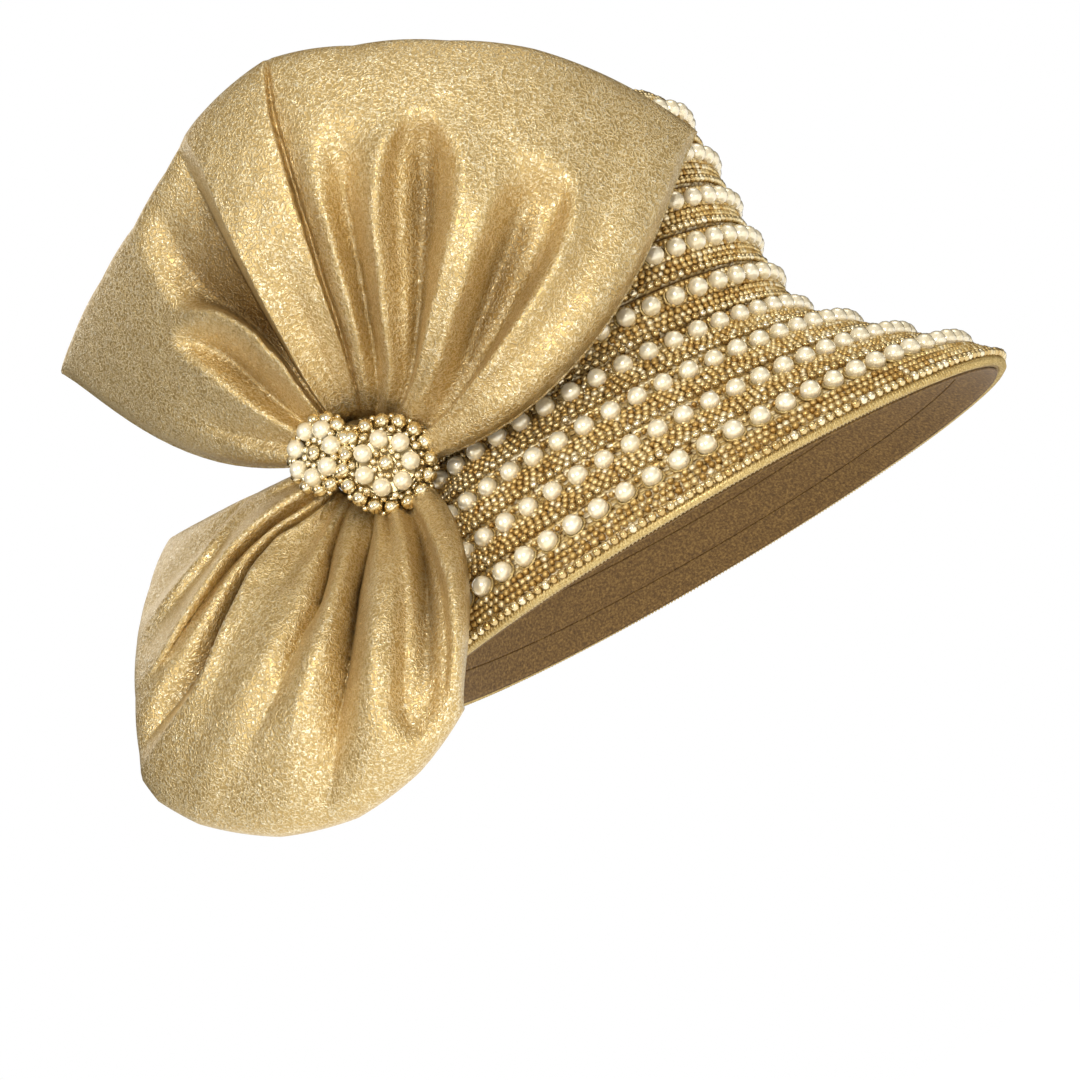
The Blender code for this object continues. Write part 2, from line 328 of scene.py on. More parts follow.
def guide_mesh(loops, **attributes):
    """Closed lines for the node trees to follow. Each attribute holds a number or vector for every point."""
    mesh = bpy.data.meshes.new("guide")
    edges, start = [], 0
    for loop in loops:
        count = len(loop)
        edges += [(start + i, start + (i + 1) % count) for i in range(count)]
        start += count
    mesh.from_pydata(np.concatenate(loops).tolist(), edges, [])
    for key, values in attributes.items():
        mark(mesh, key, values)
    return mesh


def new_tree(name, **inputs):
    """A Geometry Nodes tree with those named inputs, given with their kinds, and its input node."""
    tree = bpy.data.node_groups.new(name, "GeometryNodeTree")
    tree.interface.new_socket("Geometry", in_out="OUTPUT", socket_type="NodeSocketGeometry")
    tree.interface.new_socket("Geometry", in_out="INPUT", socket_type="NodeSocketGeometry")
    kinds = {int: "NodeSocketInt", float: "NodeSocketFloat", bpy.types.Material: "NodeSocketMaterial"}
    for key, kind in {**inputs, "Material": bpy.types.Material}.items():
        tree.interface.new_socket(key.replace("_", " "), in_out="INPUT", socket_type=kinds[kind])
    return tree, tree.nodes.new("NodeGroupInput").outputs


def end_tree(tree, geometry, given):
    """Realizes the copies, gives them the material and ends the tree."""
    real = value_of(tree, "GeometryNodeRealizeInstances", {"Geometry": geometry})
    painted = value_of(tree, "GeometryNodeSetMaterial", {"Geometry": real, "Material": given["Material"]})
    add_node(tree, "NodeGroupOutput", {"Geometry": painted})
    return tree


def lines_of(tree, given):
    return value_of(tree, "GeometryNodeMeshToCurve", {"Mesh": given["Geometry"]})


def steps_along(tree, lines, length):
    return value_of(tree, "GeometryNodeResampleCurve", {"Curve": lines, "Length": length}, mode="LENGTH")


def of_guide(tree, name, kind="FLOAT"):
    """What the guide's attribute of that name holds at each point."""
    return value_of(tree, "GeometryNodeInputNamedAttribute", {"Name": name}, data_type=kind)


def circle(tree, sides, radius):
    return value_of(tree, "GeometryNodeCurvePrimitiveCircle", {"Resolution": sides, "Radius": radius})


def tube(tree, line, section):
    return value_of(tree, "GeometryNodeCurveToMesh", {"Curve": line, "Profile Curve": section})


def turn_to(tree, direction):
    """The rotation that turns +Z to a direction."""
    return value_of(tree, "FunctionNodeAlignRotationToVector", {"Vector": direction}, axis="Z")


def copies(tree, points, instance, **inputs):
    inputs = {"Points": points, "Instance": instance, **inputs}
    return value_of(tree, "GeometryNodeInstanceOnPoints", inputs)


def smooth(tree, geometry):
    return value_of(tree, "GeometryNodeSetShadeSmooth", {"Geometry": geometry})


def grow(name, slot, replaced, tree, guide, **values):
    """A piece of the hat that a tree grows on a guide, with its inputs set before it is first evaluated."""
    holder = add_object(name, guide)
    modifier = holder.modifiers.new("grow", "NODES")
    modifier.node_group = tree
    for item in tree.interface.items_tree:
        key = item.name.replace(" ", "_")
        if item.item_type == "SOCKET" and item.in_out == "INPUT" and key in values:
            modifier[item.identifier] = values[key]
    graph = bpy.context.evaluated_depsgraph_get()
    mesh = bpy.data.meshes.new_from_object(holder.evaluated_get(graph), depsgraph=graph)
    mesh.name = name
    holder.modifiers.remove(modifier)
    bpy.data.objects.remove(holder)
    bpy.data.meshes.remove(guide)
    add_piece(name, mesh, None, slot, *replaced)


tree, given = new_tree("wound_cord", Cord_Radius=float, Thread_Radius=float, Turn_Length=float, Slant=float)
line = lines_of(tree, given)
core_ring = circle(tree, CORD_SIDES, given["Cord Radius"])
core = tube(tree, line, core_ring)
thread_turn = tube(tree, core_ring, circle(tree, THREAD_SIDES, given["Thread Radius"]))
slant = value_of(tree, "FunctionNodeAxisAngleToRotation", {"Axis": (1.0, 0.0, 0.0), "Angle": given["Slant"]})
slanted = value_of(
    tree, "FunctionNodeRotateRotation",
    {"Rotation": turn_to(tree, value_of(tree, "GeometryNodeInputTangent")), "Rotate By": slant},
    rotation_space="LOCAL",
)
winding = copies(tree, steps_along(tree, line, given["Turn Length"]), thread_turn, Rotation=slanted)
both = add_node(tree, "GeometryNodeJoinGeometry", {"Geometry": winding})
tree.links.new(core, both.inputs["Geometry"])
wound_cord = end_tree(tree, smooth(tree, both.outputs["Geometry"]), given)

# Metal thread wound tight over cotton: pale gold, a soft gloss along each thread
metal_thread, tree = new_material("pale_gold_metal_thread", Metallic=0.7, Roughness=0.38)
fibre = noise(tree, 1500.0, 2.0)
shade = ramp(tree, fibre, (0.3, "#A5874A"), (0.7, "#DCC68C"))
paint(tree, Base_Color=shade, Normal=bump(tree, fibre, 0.4, 0.2))

turns = turns_round(BINDING_POINTS)
edge_points = hat_points(0.0, turns)
edge_normals = hat_normals(0.0, turns)
down = np.cross(edge_normals, np.roll(edge_points, -1, 0) - np.roll(edge_points, 1, 0))
down /= np.linalg.norm(down, axis=1, keepdims=True)
down *= -np.sign(down[:, 2:3])
binding_line = edge_points + (down * BINDING_DROP + edge_normals * BINDING_OUTSET) * MM
grow(
    "edge_binding_cord", "binding_braid", ["edge_binding"], wound_cord, guide_mesh([binding_line]),
    Cord_Radius=(BINDING_RADIUS - THREAD_RADIUS / 2) * MM, Thread_Radius=THREAD_RADIUS * MM,
    Turn_Length=BINDING_TURN * MM, Slant=math.radians(BINDING_SLANT), Material=metal_thread,
)


# Bands of braid
# Flat braids crocheted from pale metal thread, each sewn on beside the last, from the edge to the top.
# A groove runs where two braids meet, a little above every string of pearls, and is painted dark as shade.

BRAID_HEIGHT = 2.2
BRAID_SIDES = 180
# Along a braid's width, as shares of the way from one string of pearls to the next: how high it stands
BRAID_PROFILE = (
    (0.0, 1.0), (0.12, 1.0), (0.22, 0.95), (0.28, 0.6), (0.315, 0.05), (0.35, 0.6), (0.42, 0.95), (0.56, 1.0),
    (0.7, 1.0), (0.85, 1.0),
)
EDGE_LEVEL = 0.15  # height of the first braid where it meets the binding
BRAID_STITCHES = (260, 13)  # round the hat, and from one string of pearls to the next
TOP_STITCH = 2.0  # distance between stitches at the crown's top

# Crochet of metal thread: pale gold stitches about 2.4 mm long and 1.3 mm wide, with painted shade in the
# small holes between them and in the groove between braids
crochet, tree = new_material("metal_thread_crochet", Metallic=0.6, Roughness=0.4)
stitches = add_node(
    tree, "ShaderNodeTexVoronoi", {"Vector": place_in(tree, "UV"), "Scale": 1.0, "Randomness": 0.75},
    voronoi_dimensions="2D",
).outputs
shade = value_of(tree, "ShaderNodeSeparateColor", {"Color": stitches["Color"]})
pale = ramp(tree, shade, (0.1, "#CDAC68"), (0.55, "#E2CB92"), (0.95, "#F5E8C4"))
# Painted shade: dark brown where the stitches part and where the braid sinks into the groove
hole_shade = remap(tree, stitches["Distance"], 0.45, 0.72)
groove_shade = remap(tree, attribute(tree, "groove_shade_depth"), 0.35, 0.8)
paint(
    tree, Base_Color=mix(tree, maths(tree, "MAXIMUM", hole_shade, groove_shade), pale, colour("#6B4E20")),
    Normal=bump(tree, stitches["Distance"], 0.8, 0.8, invert=True),
)

braid_shares, braid_levels = np.array(BRAID_PROFILE).T
levels = np.append((np.arange(TOP_LEVEL)[:, None] + braid_shares).ravel(), TOP_LEVEL)
heights = np.append(np.tile(braid_levels, TOP_LEVEL), 1.0)
heights[levels < 1] = 1.0  # the braid at the edge is a single one
heights[0] = EDGE_LEVEL
braid_points = hat_points(levels[:, None], turns_round(BRAID_SIDES), heights[:, None] * BRAID_HEIGHT)
braid_mesh = grid_mesh("braid_bands", braid_points, closed_round=True, scale=BRAID_STITCHES, row_at=levels)
close_top(braid_mesh, BRAID_SIDES, TOP_STITCH)
# How deep the braid sinks at each point, which the crochet's colour turns into painted shade in the groove
mark(braid_mesh, "groove_shade_depth", np.repeat(1 - heights, BRAID_SIDES))
add_piece("braid_bands", braid_mesh, crochet, "beaded_base_cloth")


# Beads of the braid
# Small glass beads crocheted into the bands: rows of gold seed beads, a row of larger champagne beads between
# them, and a rope of two champagne rows under the crown's shoulder.

# A row of beads: share of the way from one string of pearls to the next, bead radius, distance between beads
BeadRow = namedtuple("BeadRow", "share radius pitch")
CROWN_ROWS = (
    BeadRow(0.212, 1.2, 2.6), BeadRow(0.585, 1.4, 3.0), BeadRow(0.71, 1.5, 3.3), BeadRow(0.845, 1.25, 2.7),
)
BRIM_ROWS = (
    BeadRow(0.208, 1.25, 2.7), BeadRow(0.565, 1.45, 3.1), BeadRow(0.675, 1.5, 3.3), BeadRow(0.785, 1.35, 2.9),
    BeadRow(0.885, 1.2, 2.6),
)
EDGE_ROWS = (BeadRow(0.3, 1.5, 3.3), BeadRow(0.5, 1.35, 2.9), BeadRow(0.69, 1.45, 3.1))
ROPE_ROWS = (BeadRow(-0.38, 1.75, 3.4), BeadRow(-0.1, 1.75, 3.4))  # shares from the shoulder
CHAMPAGNE_ROW = BeadRow(0.435, 1.75, 3.8)
EDGE_CHAMPAGNE_ROW = BeadRow(0.02, 1.8, 4.0)
BRAID_EDGES = [level for name, level in RING_LEVEL.items() if name != "shoulder"]
# Braids that share one piece, by the rings that they lie between
BRAID_GROUPS = (
    ("brim_braid_beads", "rim", "row_4"), ("lower_crown_braid_beads", "row_4", "row_7"),
    ("upper_crown_braid_beads", "row_7", "tip"),
)
BEAD_SINK = 0.25  # share of a bead's radius that lies in the band
GUIDE_POINTS = 180
FULL_TURN = (6.28, 6.28, 6.28)
TONE_SEED = 7


def chance_of(tree, low, high, seed, vector=False):
    """A random number for each point, or a random vector."""
    inputs = {0: low, 1: high, "Seed": seed} if vector else {2: low, 3: high, "Seed": seed}
    node = add_node(tree, "FunctionNodeRandomValue", inputs, data_type="FLOAT_VECTOR" if vector else "FLOAT")
    return node.outputs[0 if vector else 1]


tree, given = new_tree("strung_beads", Sides=int, Rounds=int, Size_Spread=float, Wander=float, Seed=int)
steps = steps_along(tree, lines_of(tree, given), of_guide(tree, "pitch"))
wander, seed = given["Wander"], given["Seed"]
shift = chance_of(tree, maths(tree, "MULTIPLY", wander, -1.0), wander, seed, vector=True)
strewn = value_of(tree, "GeometryNodeSetPosition", {"Geometry": steps, "Offset": shift})
bead = value_of(
    tree, "GeometryNodeMeshUVSphere", {"Segments": given["Sides"], "Rings": given["Rounds"], "Radius": 1.0}
)
least, most = (maths(tree, operation, 1.0, given["Size Spread"]) for operation in ("SUBTRACT", "ADD"))
size = chance_of(tree, least, most, seed)
tumble = chance_of(tree, (0.0, 0.0, 0.0), FULL_TURN, seed, vector=True)
scale = maths(tree, "MULTIPLY", of_guide(tree, "bead_radius"), size)
beads = copies(tree, strewn, smooth(tree, bead), Rotation=tumble, Scale=scale)
tone = chance_of(tree, 0.0, 1.0, TONE_SEED)
toned = value_of(
    tree, "GeometryNodeStoreNamedAttribute", {"Geometry": beads, "Name": "tone", "Value": tone},
    data_type="FLOAT", domain="INSTANCE",
)
strung_beads = end_tree(tree, toned, given)

# Metal-coated glass beads, most of them gold and a few pale: a hard gloss, each bead its own tint
bead_gold, tree = new_material("antique_gold_glass_beads", Metallic=0.85, Roughness=0.3)
dents = noise(tree, 800.0, 1.0)
tints = ((0.0, "#B08A4A"), (0.3, "#C9A968"), (0.6, "#DBC084"), (0.85, "#E6D09C"), (0.97, "#F0E2BE"))
paint(
    tree, Base_Color=ramp(tree, attribute(tree, "tone"), *tints),
    Roughness=remap(tree, dents, 0.3, 0.7, 0.3, 0.46), Normal=bump(tree, dents, 0.25, 0.3),
)

# Pearlised champagne glass: a silvery coat over warm glass, rounder and paler than the gold beads
bead_champagne, tree = new_material("champagne_lustre_glass_beads", Metallic=0.9, Roughness=0.2)
tints = ((0.0, "#BFA066"), (0.4, "#D3BC88"), (0.8, "#E4D3A8"), (1.0, "#EFE4C8"))
paint(
    tree, Base_Color=ramp(tree, attribute(tree, "tone"), *tints),
    Roughness=remap(tree, noise(tree, 500.0, 1.0), 0.3, 0.7, 0.12, 0.28),
)

guide_turns = turns_round(GUIDE_POINTS)


def bead_guide(rows):
    """Rows of beads round the hat: each is a level, a bead radius and a pitch."""
    loops = [
        hat_points(level, guide_turns, BRAID_HEIGHT + (1 - BEAD_SINK) * radius) for level, radius, _ in rows
    ]
    radii = np.repeat([radius * MM for _, radius, _ in rows], GUIDE_POINTS)
    pitches = np.repeat([pitch * MM for _, _, pitch in rows], GUIDE_POINTS)
    return guide_mesh(loops, bead_radius=radii, pitch=pitches)


def braid_rows(first, last):
    """The small beads and the champagne beads of the braids between two rings: level, radius and pitch."""
    edges = [level for level in BRAID_EDGES if RING_LEVEL[first] <= level <= RING_LEVEL[last]]
    small, champagne = [], []
    for low, high in zip(edges, edges[1:]):
        rows, large = BRIM_ROWS if high <= RING_LEVEL["row_4"] else CROWN_ROWS, CHAMPAGNE_ROW
        if low == RING_LEVEL["rim"]:
            rows, large = EDGE_ROWS, EDGE_CHAMPAGNE_ROW
        small += [(low + (high - low) * row.share, row.radius, row.pitch) for row in rows]
        champagne.append((low + (high - low) * large.share, large.radius, large.pitch))
    return small, champagne


champagne_rows = [(RING_LEVEL["shoulder"] + row.share, row.radius, row.pitch) for row in ROPE_ROWS]
for number, (name, first, last) in enumerate(BRAID_GROUPS):
    small, champagne = braid_rows(first, last)
    champagne_rows += champagne
    grow(
        name, "antique_gold", [], strung_beads, bead_guide(small),
        Sides=6, Rounds=4, Size_Spread=0.09, Wander=0.07 * MM, Seed=number, Material=bead_gold,
    )
grow(
    "champagne_beads", "antique_gold", [], strung_beads, bead_guide(champagne_rows),
    Sides=7, Rounds=5, Size_Spread=0.08, Wander=0.1 * MM, Seed=9, Material=bead_champagne,
)


# Pearl strings
# Twelve rounds of imitation pearls, each sewn through the braid, from the brim's edge to the crown's top.
# Moulded beads with a nacre coat: ivory, with a soft gloss over a warm body.

PEARL_RADIUS = 4.0
PEARL_PITCH = 11.5
PEARL_LIFT = 0.35
PEARL_LEVELS = [level for name, level in RING_LEVEL.items() if name.startswith("row")]

pearl_coat, tree = new_material(
    "nacre_coated_pearl", Metallic=0.45, Roughness=0.26, Coat_Weight=1.0, Coat_Roughness=0.06
)
paint(tree, Base_Color=ramp(tree, noise(tree, 260.0, 2.0), (0.3, "#EFE1BC"), (0.7, "#F9F0D8")))

pearl_lines = [hat_points(level, guide_turns, PEARL_RADIUS + PEARL_LIFT) for level in PEARL_LEVELS]
pearl_points = GUIDE_POINTS * len(PEARL_LEVELS)
pearl_guide = guide_mesh(
    pearl_lines,
    bead_radius=np.full(pearl_points, PEARL_RADIUS * MM), pitch=np.full(pearl_points, PEARL_PITCH * MM),
)
strands = [f"pearl_strand_{number:02d}" for number in range(1, len(PEARL_LEVELS) + 1)]
grow(
    "pearl_strings", "pearl_strand", strands, strung_beads, pearl_guide,
    Sides=14, Rounds=8, Size_Spread=0.02, Wander=0.1 * MM, Seed=3, Material=pearl_coat,
)


# Rings of gold thread round the pearls
# Each pearl of a string sits in a small ring of pale metal thread, crocheted with the braid.
# The ring hides the hole that the pearl's own thread goes through.

RING_RADIUS = 4.25
RING_THREAD = 0.6
RING_DROP = 1.6  # below the pearl's middle
RING_SIDES = 12
RING_THREAD_SIDES = 4

tree, given = new_tree("thread_rings", Pitch=float, Ring_Radius=float, Thread_Radius=float, Drop=float)
steps = steps_along(tree, lines_of(tree, given), given["Pitch"])
away = of_guide(tree, "away", "FLOAT_VECTOR")
inward = maths(tree, "MULTIPLY", given["Drop"], -1.0)
lowered = value_of(tree, "ShaderNodeVectorMath", {0: away, "Scale": inward}, operation="SCALE")
seats = value_of(tree, "GeometryNodeSetPosition", {"Geometry": steps, "Offset": lowered})
thread = circle(tree, RING_THREAD_SIDES, given["Thread Radius"])
one_ring = tube(tree, circle(tree, RING_SIDES, given["Ring Radius"]), thread)
rings = copies(tree, seats, one_ring, Rotation=turn_to(tree, away))
thread_rings = end_tree(tree, smooth(tree, rings), given)

pearl_normals = np.concatenate([hat_normals(level, guide_turns) for level in PEARL_LEVELS])
grow(
    "pearl_thread_rings", "antique_gold", [], thread_rings, guide_mesh(pearl_lines, away=pearl_normals),
    Pitch=PEARL_PITCH * MM, Ring_Radius=RING_RADIUS * MM, Thread_Radius=RING_THREAD * MM,
    Drop=RING_DROP * MM, Material=metal_thread,
)


# Upper loop of the bow
# A wide piece of crinkled gold lame, laid double over its outer fold and gathered into the knot.
# It stands against the crown, wraps round its front, and opens into deep folds.

BOW_TURN = math.radians(36)
ACROSS = np.array([math.cos(BOW_TURN), -math.sin(BOW_TURN), 0])
OUT = np.array([-math.sin(BOW_TURN), -math.cos(BOW_TURN), 0])
UP = np.array([0.0, 0.0, 1.0])
BOW_ZERO = np.array([0.0, -16.0, 0.0])
KNOT = (-97.5, 90, 55)  # across, up from the brim's edge, and out
LOOP_START = 16.4  # from the knot's middle
HALF_APART = 2.3  # half the distance between the two layers
SIDE_BEND = 1.3  # how fast a loop opens from its angles at the knot to those at its edge
SWELL_LENGTHWAYS = 0.4
SWELL_ACROSS = 0.27
CLOTH = 1.0

# A loop's reaches say how far it comes in each direction, and fine says where its sharp folds lie
Loop = namedtuple("Loop", "knot_angles reaches folds fullness fine")
# A fold is a line from the knot to the outer edge. Its row says how crisp it is, from 0 for a round crest or
# floor to 1 for a crease. Then come its stations: how far along the reach, in hundredths, at which place
# across the loop, in thousandths, and how high the cloth stands there, in hundredths of the fullness.
UPPER_FOLDS = (
    (0.2, (0, 30, 100), (30, 30, 30), (90, 100, 100)),
    (0.4, (0, 15, 32, 50, 100), (70, 70, 60, 60, 60), (40, 40, 60, 100, 100)),
    (0.0, (0, 30, 43, 60, 100), (110, 130, 135, 125, 120), (90, 105, 110, 100, 95)),
    (0.3, (0, 15, 30, 45, 55, 62, 70, 100), (175, 190, 195, 193, 172, 155, 150, 150),
     (20, 10, 10, 20, 50, 102, 95, 92)),
    (0.1, (0, 7, 22, 38, 51, 60, 66, 80, 100), (250, 262, 278, 268, 238, 200, 180, 185, 200),
     (90, 100, 115, 125, 125, 115, 98, 95, 92)),
    (0.0, (0, 7, 26, 38, 46, 60, 75, 90, 100), (278, 280, 292, 284, 274, 250, 250, 262, 270),
     (30, 20, 5, 0, 0, 3, 10, 25, 50)),
    (0.8, (0, 7, 26, 46, 60, 82, 100), (286, 287, 305, 314, 320, 330, 335), (20, 12, 0, 0, 2, 8, 30)),
    (0.5, (0, 7, 26, 46, 60, 82, 100), (296, 298, 320, 332, 338, 350, 352),
     (90, 100, 120, 135, 135, 120, 100)),
    (0.3, (0, 15, 32, 48, 62, 80, 100), (390, 390, 394, 402, 410, 412, 412),
     (45, 60, 85, 112, 116, 108, 100)),
    (1.0, (0, 14, 35, 58, 82, 100), (472, 464, 455, 460, 470, 489), (90, 98, 98, 96, 100, 105)),
    (1.0, (0, 14, 35, 58, 82, 100), (481, 472, 461, 465, 474, 493), (35, 30, 35, 30, 40, 50)),
    (0.5, (0, 14, 35, 58, 82, 100), (495, 485, 469, 471, 479, 498), (55, 65, 72, 74, 80, 88)),
    (0.0, (0, 18, 35, 56, 67, 85, 100), (530, 520, 505, 502, 510, 530, 550),
     (80, 95, 105, 105, 100, 100, 100)),
    (0.2, (0, 10, 24, 39, 55, 68, 77, 100), (590, 572, 548, 540, 540, 555, 570, 580),
     (25, 20, 20, 35, 50, 75, 100, 98)),
    (0.1, (0, 11, 24, 46, 60, 68, 74, 80, 100), (645, 640, 600, 590, 605, 622, 645, 655, 650),
     (80, 95, 105, 120, 120, 120, 112, 100, 98)),
    (0.1, (0, 14, 27, 47, 65, 72, 77, 82, 100), (690, 680, 650, 630, 638, 655, 668, 672, 670),
     (30, 35, 55, 60, 60, 66, 110, 100, 97)),
    (0.0, (0, 12, 24, 40, 56, 66, 72, 77, 82, 100), (708, 708, 682, 668, 670, 675, 678, 686, 686, 690),
     (20, 10, 18, 28, 20, 24, 45, 110, 100, 97)),
    (0.2, (0, 12, 24, 40, 56, 66, 73, 79, 100), (735, 738, 724, 726, 736, 734, 718, 700, 710),
     (80, 95, 110, 120, 120, 118, 112, 100, 97)),
    (0.0, (0, 14, 28, 45, 58, 70, 100), (790, 787, 762, 766, 775, 780, 780),
     (80, 100, 120, 122, 112, 100, 97)),
    (0.1, (0, 17, 29, 45, 59, 66, 72, 78, 100), (865, 850, 812, 806, 820, 838, 857, 858, 850),
     (30, 10, 5, 8, 25, 45, 110, 100, 97)),
    (0.0, (0, 17, 29, 45, 59, 66, 72, 78, 100), (880, 872, 853, 850, 860, 866, 871, 871, 870),
     (20, 8, 15, 25, 40, 55, 110, 100, 97)),
    (0.2, (0, 10, 21, 36, 52, 62, 69, 75, 100), (900, 900, 890, 890, 900, 903, 893, 885, 890),
     (80, 95, 110, 120, 122, 120, 112, 100, 97)),
    (0.0, (0, 30, 50, 65, 80, 100), (940, 940, 940, 935, 930, 930), (90, 100, 88, 78, 88, 95)),
    (0.0, (0, 50, 70, 100), (975, 975, 978, 980), (100, 110, 110, 100)),
)
UPPER = Loop(
    knot_angles=(158, -40),
    reaches=(
        (130, 154), (125, 149), (115, 141), (105, 137), (95, 140), (87, 146), (73, 154), (60, 153), (47, 159),
        (36, 168), (25, 175), (14, 182),
    ),
    folds=UPPER_FOLDS,
    fullness=22,
    fine=((0.285, 0.36), (0.445, 0.51)),
)
LOOP_COLUMNS = 200
FINER = 1.8  # how much closer the columns stand at sharp folds
PLACES = 2001  # places across a loop where that is weighed
FRONT_STEPS = 76
TURN_STEPS = 5
BACK_STEPS = 18
TURN_SHARE = 0.015  # of the reach, where the cloth turns over
LOOP_THREADS = (300, 320)
CREASE_SLOPE = 2.2
FOLD_WINDOW = 9  # steps over which a fold's line is smoothed
LEAST_APART = 1e-5  # of two folds' lines
BACK_FOLD_SHADE = 0.3  # painted fold shade of the back layer
GATHERS = 17  # small folds beside the knot
GATHER_DEPTH = 0.7
GATHER_RISE, GATHER_FALL = 0.3, 3  # powers by which they deepen past the knot and fade towards the edge
CRINKLE_DEPTH = 0.3
CRINKLE_LENGTH = 14.0
CRINKLE_WAVES = 14
CRINKLE_SPREAD = (0.6, 2.2)  # of a wave's length
CRINKLE_SHARE = 3.5  # what the waves' sum is divided by
CRINKLE_RISE = 0.5  # power by which they deepen away from the knot and the edge
WRAP_OUT = 101  # how far out the cloth stands at its middle
WRAP_MIDDLE = -10  # across
WRAP_ROUND = 246  # twice the radius that it wraps round
DRAWN_IN = 0.85  # share of that depth lost at the knot
DRAWN_IN_POWER = 8  # how fast it is won back


def bow_points(across, height, out):
    """Points by the bow's own measures: across it, up from the brim's edge, and out from the hat."""
    across, height, out = (np.asarray(measure)[..., None] for measure in (across, height, out))
    return (BOW_ZERO + across * ACROSS + (height - SEAT_HEIGHT) * UP + out * OUT) * MM


def upper_depth(across, height, share):
    """The upper loop wraps round the crown's front and sweeps back behind the knot, which draws it in."""
    wrap = WRAP_OUT - (across - WRAP_MIDDLE) ** 2 / WRAP_ROUND
    return KNOT[2] + (wrap - KNOT[2]) * (1 - DRAWN_IN * (1 - share) ** DRAWN_IN_POWER)


def fold_levels(folds, places, shares):
    """How high the cloth stands over a grid of shares by places, as a share of the fullness."""
    sides = [(0.0, (0, 100), (place, place), (100, 100)) for place in (0, 1000)]
    folds = (sides[0], *folds, sides[1])
    lines, heights = np.empty((2, len(folds), len(shares)))
    for number, (_, *stations) in enumerate(folds):
        along, line, height = np.array(stations) / [[100], [1000], [100]]
        lines[number] = np.interp(shares, along, line)
        heights[number] = np.interp(shares, along, height)
    window = np.hanning(FOLD_WINDOW)[1:-1] / np.hanning(FOLD_WINDOW).sum()
    for values in (lines, heights):
        for row in values:
            row[:] = np.convolve(np.pad(row, len(window) // 2, "edge"), window, "valid")
    crisp = np.array([fold[0] for fold in folds]) * CREASE_SLOPE
    levels = np.empty((len(shares), len(places)))
    for number in range(len(shares)):
        line = np.maximum.accumulate(lines[:, number] + np.arange(len(folds)) * LEAST_APART)
        left = np.clip(np.searchsorted(line, places, side="right") - 1, 0, len(folds) - 2)
        t = np.clip((places - line[left]) / (line[left + 1] - line[left]), 0, 1)
        low, high = heights[left, number], heights[left + 1, number]
        rise = high - low
        levels[number] = (
            low + rise * (3 * t**2 - 2 * t**3) + rise * crisp[left] * (t**3 - 2 * t**2 + t)
            + rise * crisp[left + 1] * (t**3 - t**2)
        )
    return levels


def column_places(fine):
    """Places across a loop for the mesh's columns, set closer where its sharp folds lie."""
    places = np.linspace(0, 1, PLACES)
    crowding = 1 + FINER * sum(((places > low) & (places < high)).astype(float) for low, high in fine)
    reached = np.append(0, np.cumsum((crowding[1:] + crowding[:-1]) / 2))
    return np.interp(np.linspace(0, reached[-1], LOOP_COLUMNS), reached, places)


def ripple(points, seed):
    """A gentle crumple of the cloth, from waves that run in many directions."""
    chance = np.random.default_rng(seed)
    total = np.zeros(points.shape[:-1])
    for _ in range(CRINKLE_WAVES):
        wave = chance.normal(size=3)
        length = CRINKLE_LENGTH * MM * chance.uniform(*CRINKLE_SPREAD) * np.linalg.norm(wave)
        total += np.sin(points @ (wave * (2 * math.pi / length)) + chance.uniform(0, 2 * math.pi))
    return total / CRINKLE_SHARE


def loop_mesh(name, loop, depth, seed):
    """The loop's cloth as a grid: from the knot over the outer fold, and back behind."""
    turn = np.linspace(0, math.pi, TURN_STEPS + 2)[1:-1]
    shares = np.concatenate([
        np.linspace(0, 1 - TURN_SHARE, FRONT_STEPS), 1 - TURN_SHARE + TURN_SHARE * np.sin(turn),
        np.linspace(1 - TURN_SHARE, 0, BACK_STEPS),
    ])
    layers = np.concatenate([np.ones(FRONT_STEPS), np.cos(turn), -np.ones(BACK_STEPS)])
    place, share = np.meshgrid(column_places(loop.fine), shares)
    layer = np.broadcast_to(layers[:, None], place.shape)
    directions, distances = np.array(loop.reaches, float).T
    edge_angle = directions[0] + (directions[-1] - directions[0]) * place
    knot_angle = loop.knot_angles[0] + (loop.knot_angles[1] - loop.knot_angles[0]) * place
    angle = np.radians(edge_angle + (knot_angle - edge_angle) * (1 - share) ** SIDE_BEND)
    reach = np.interp(np.abs(edge_angle - directions[0]), np.abs(directions - directions[0]), distances)
    distance = LOOP_START + (reach - LOOP_START) * share
    across = KNOT[0] + distance * np.cos(angle)
    height = KNOT[1] + distance * np.sin(angle)
    arch = np.sin(math.pi * share)
    swell = arch**SWELL_LENGTHWAYS * np.sin(math.pi * place) ** SWELL_ACROSS
    gather = GATHER_DEPTH * np.sin(2 * math.pi * GATHERS * place) * (1 - share) ** GATHER_FALL
    gather *= arch**GATHER_RISE
    levels = fold_levels(loop.folds, place[0], shares)
    front = np.maximum(loop.fullness * swell * levels + gather, -HALF_APART)
    out = depth(across, height, share) + layer * HALF_APART + np.where(layer > 0, front, 0)
    points = bow_points(across, height, out)
    points += (ripple(points, seed) * CRINKLE_DEPTH * arch**CRINKLE_RISE)[..., None] * OUT * MM
    mesh = grid_mesh(name, points, scale=LOOP_THREADS)
    # How deep the front layer lies in its folds, and a fixed share for the back layer, for the lamé's painted
    # fold shade
    mark(mesh, "painted_fold_shade", np.where(layer > 0, np.clip(1 - levels, 0, 1) * swell, BACK_FOLD_SHADE))
    return mesh
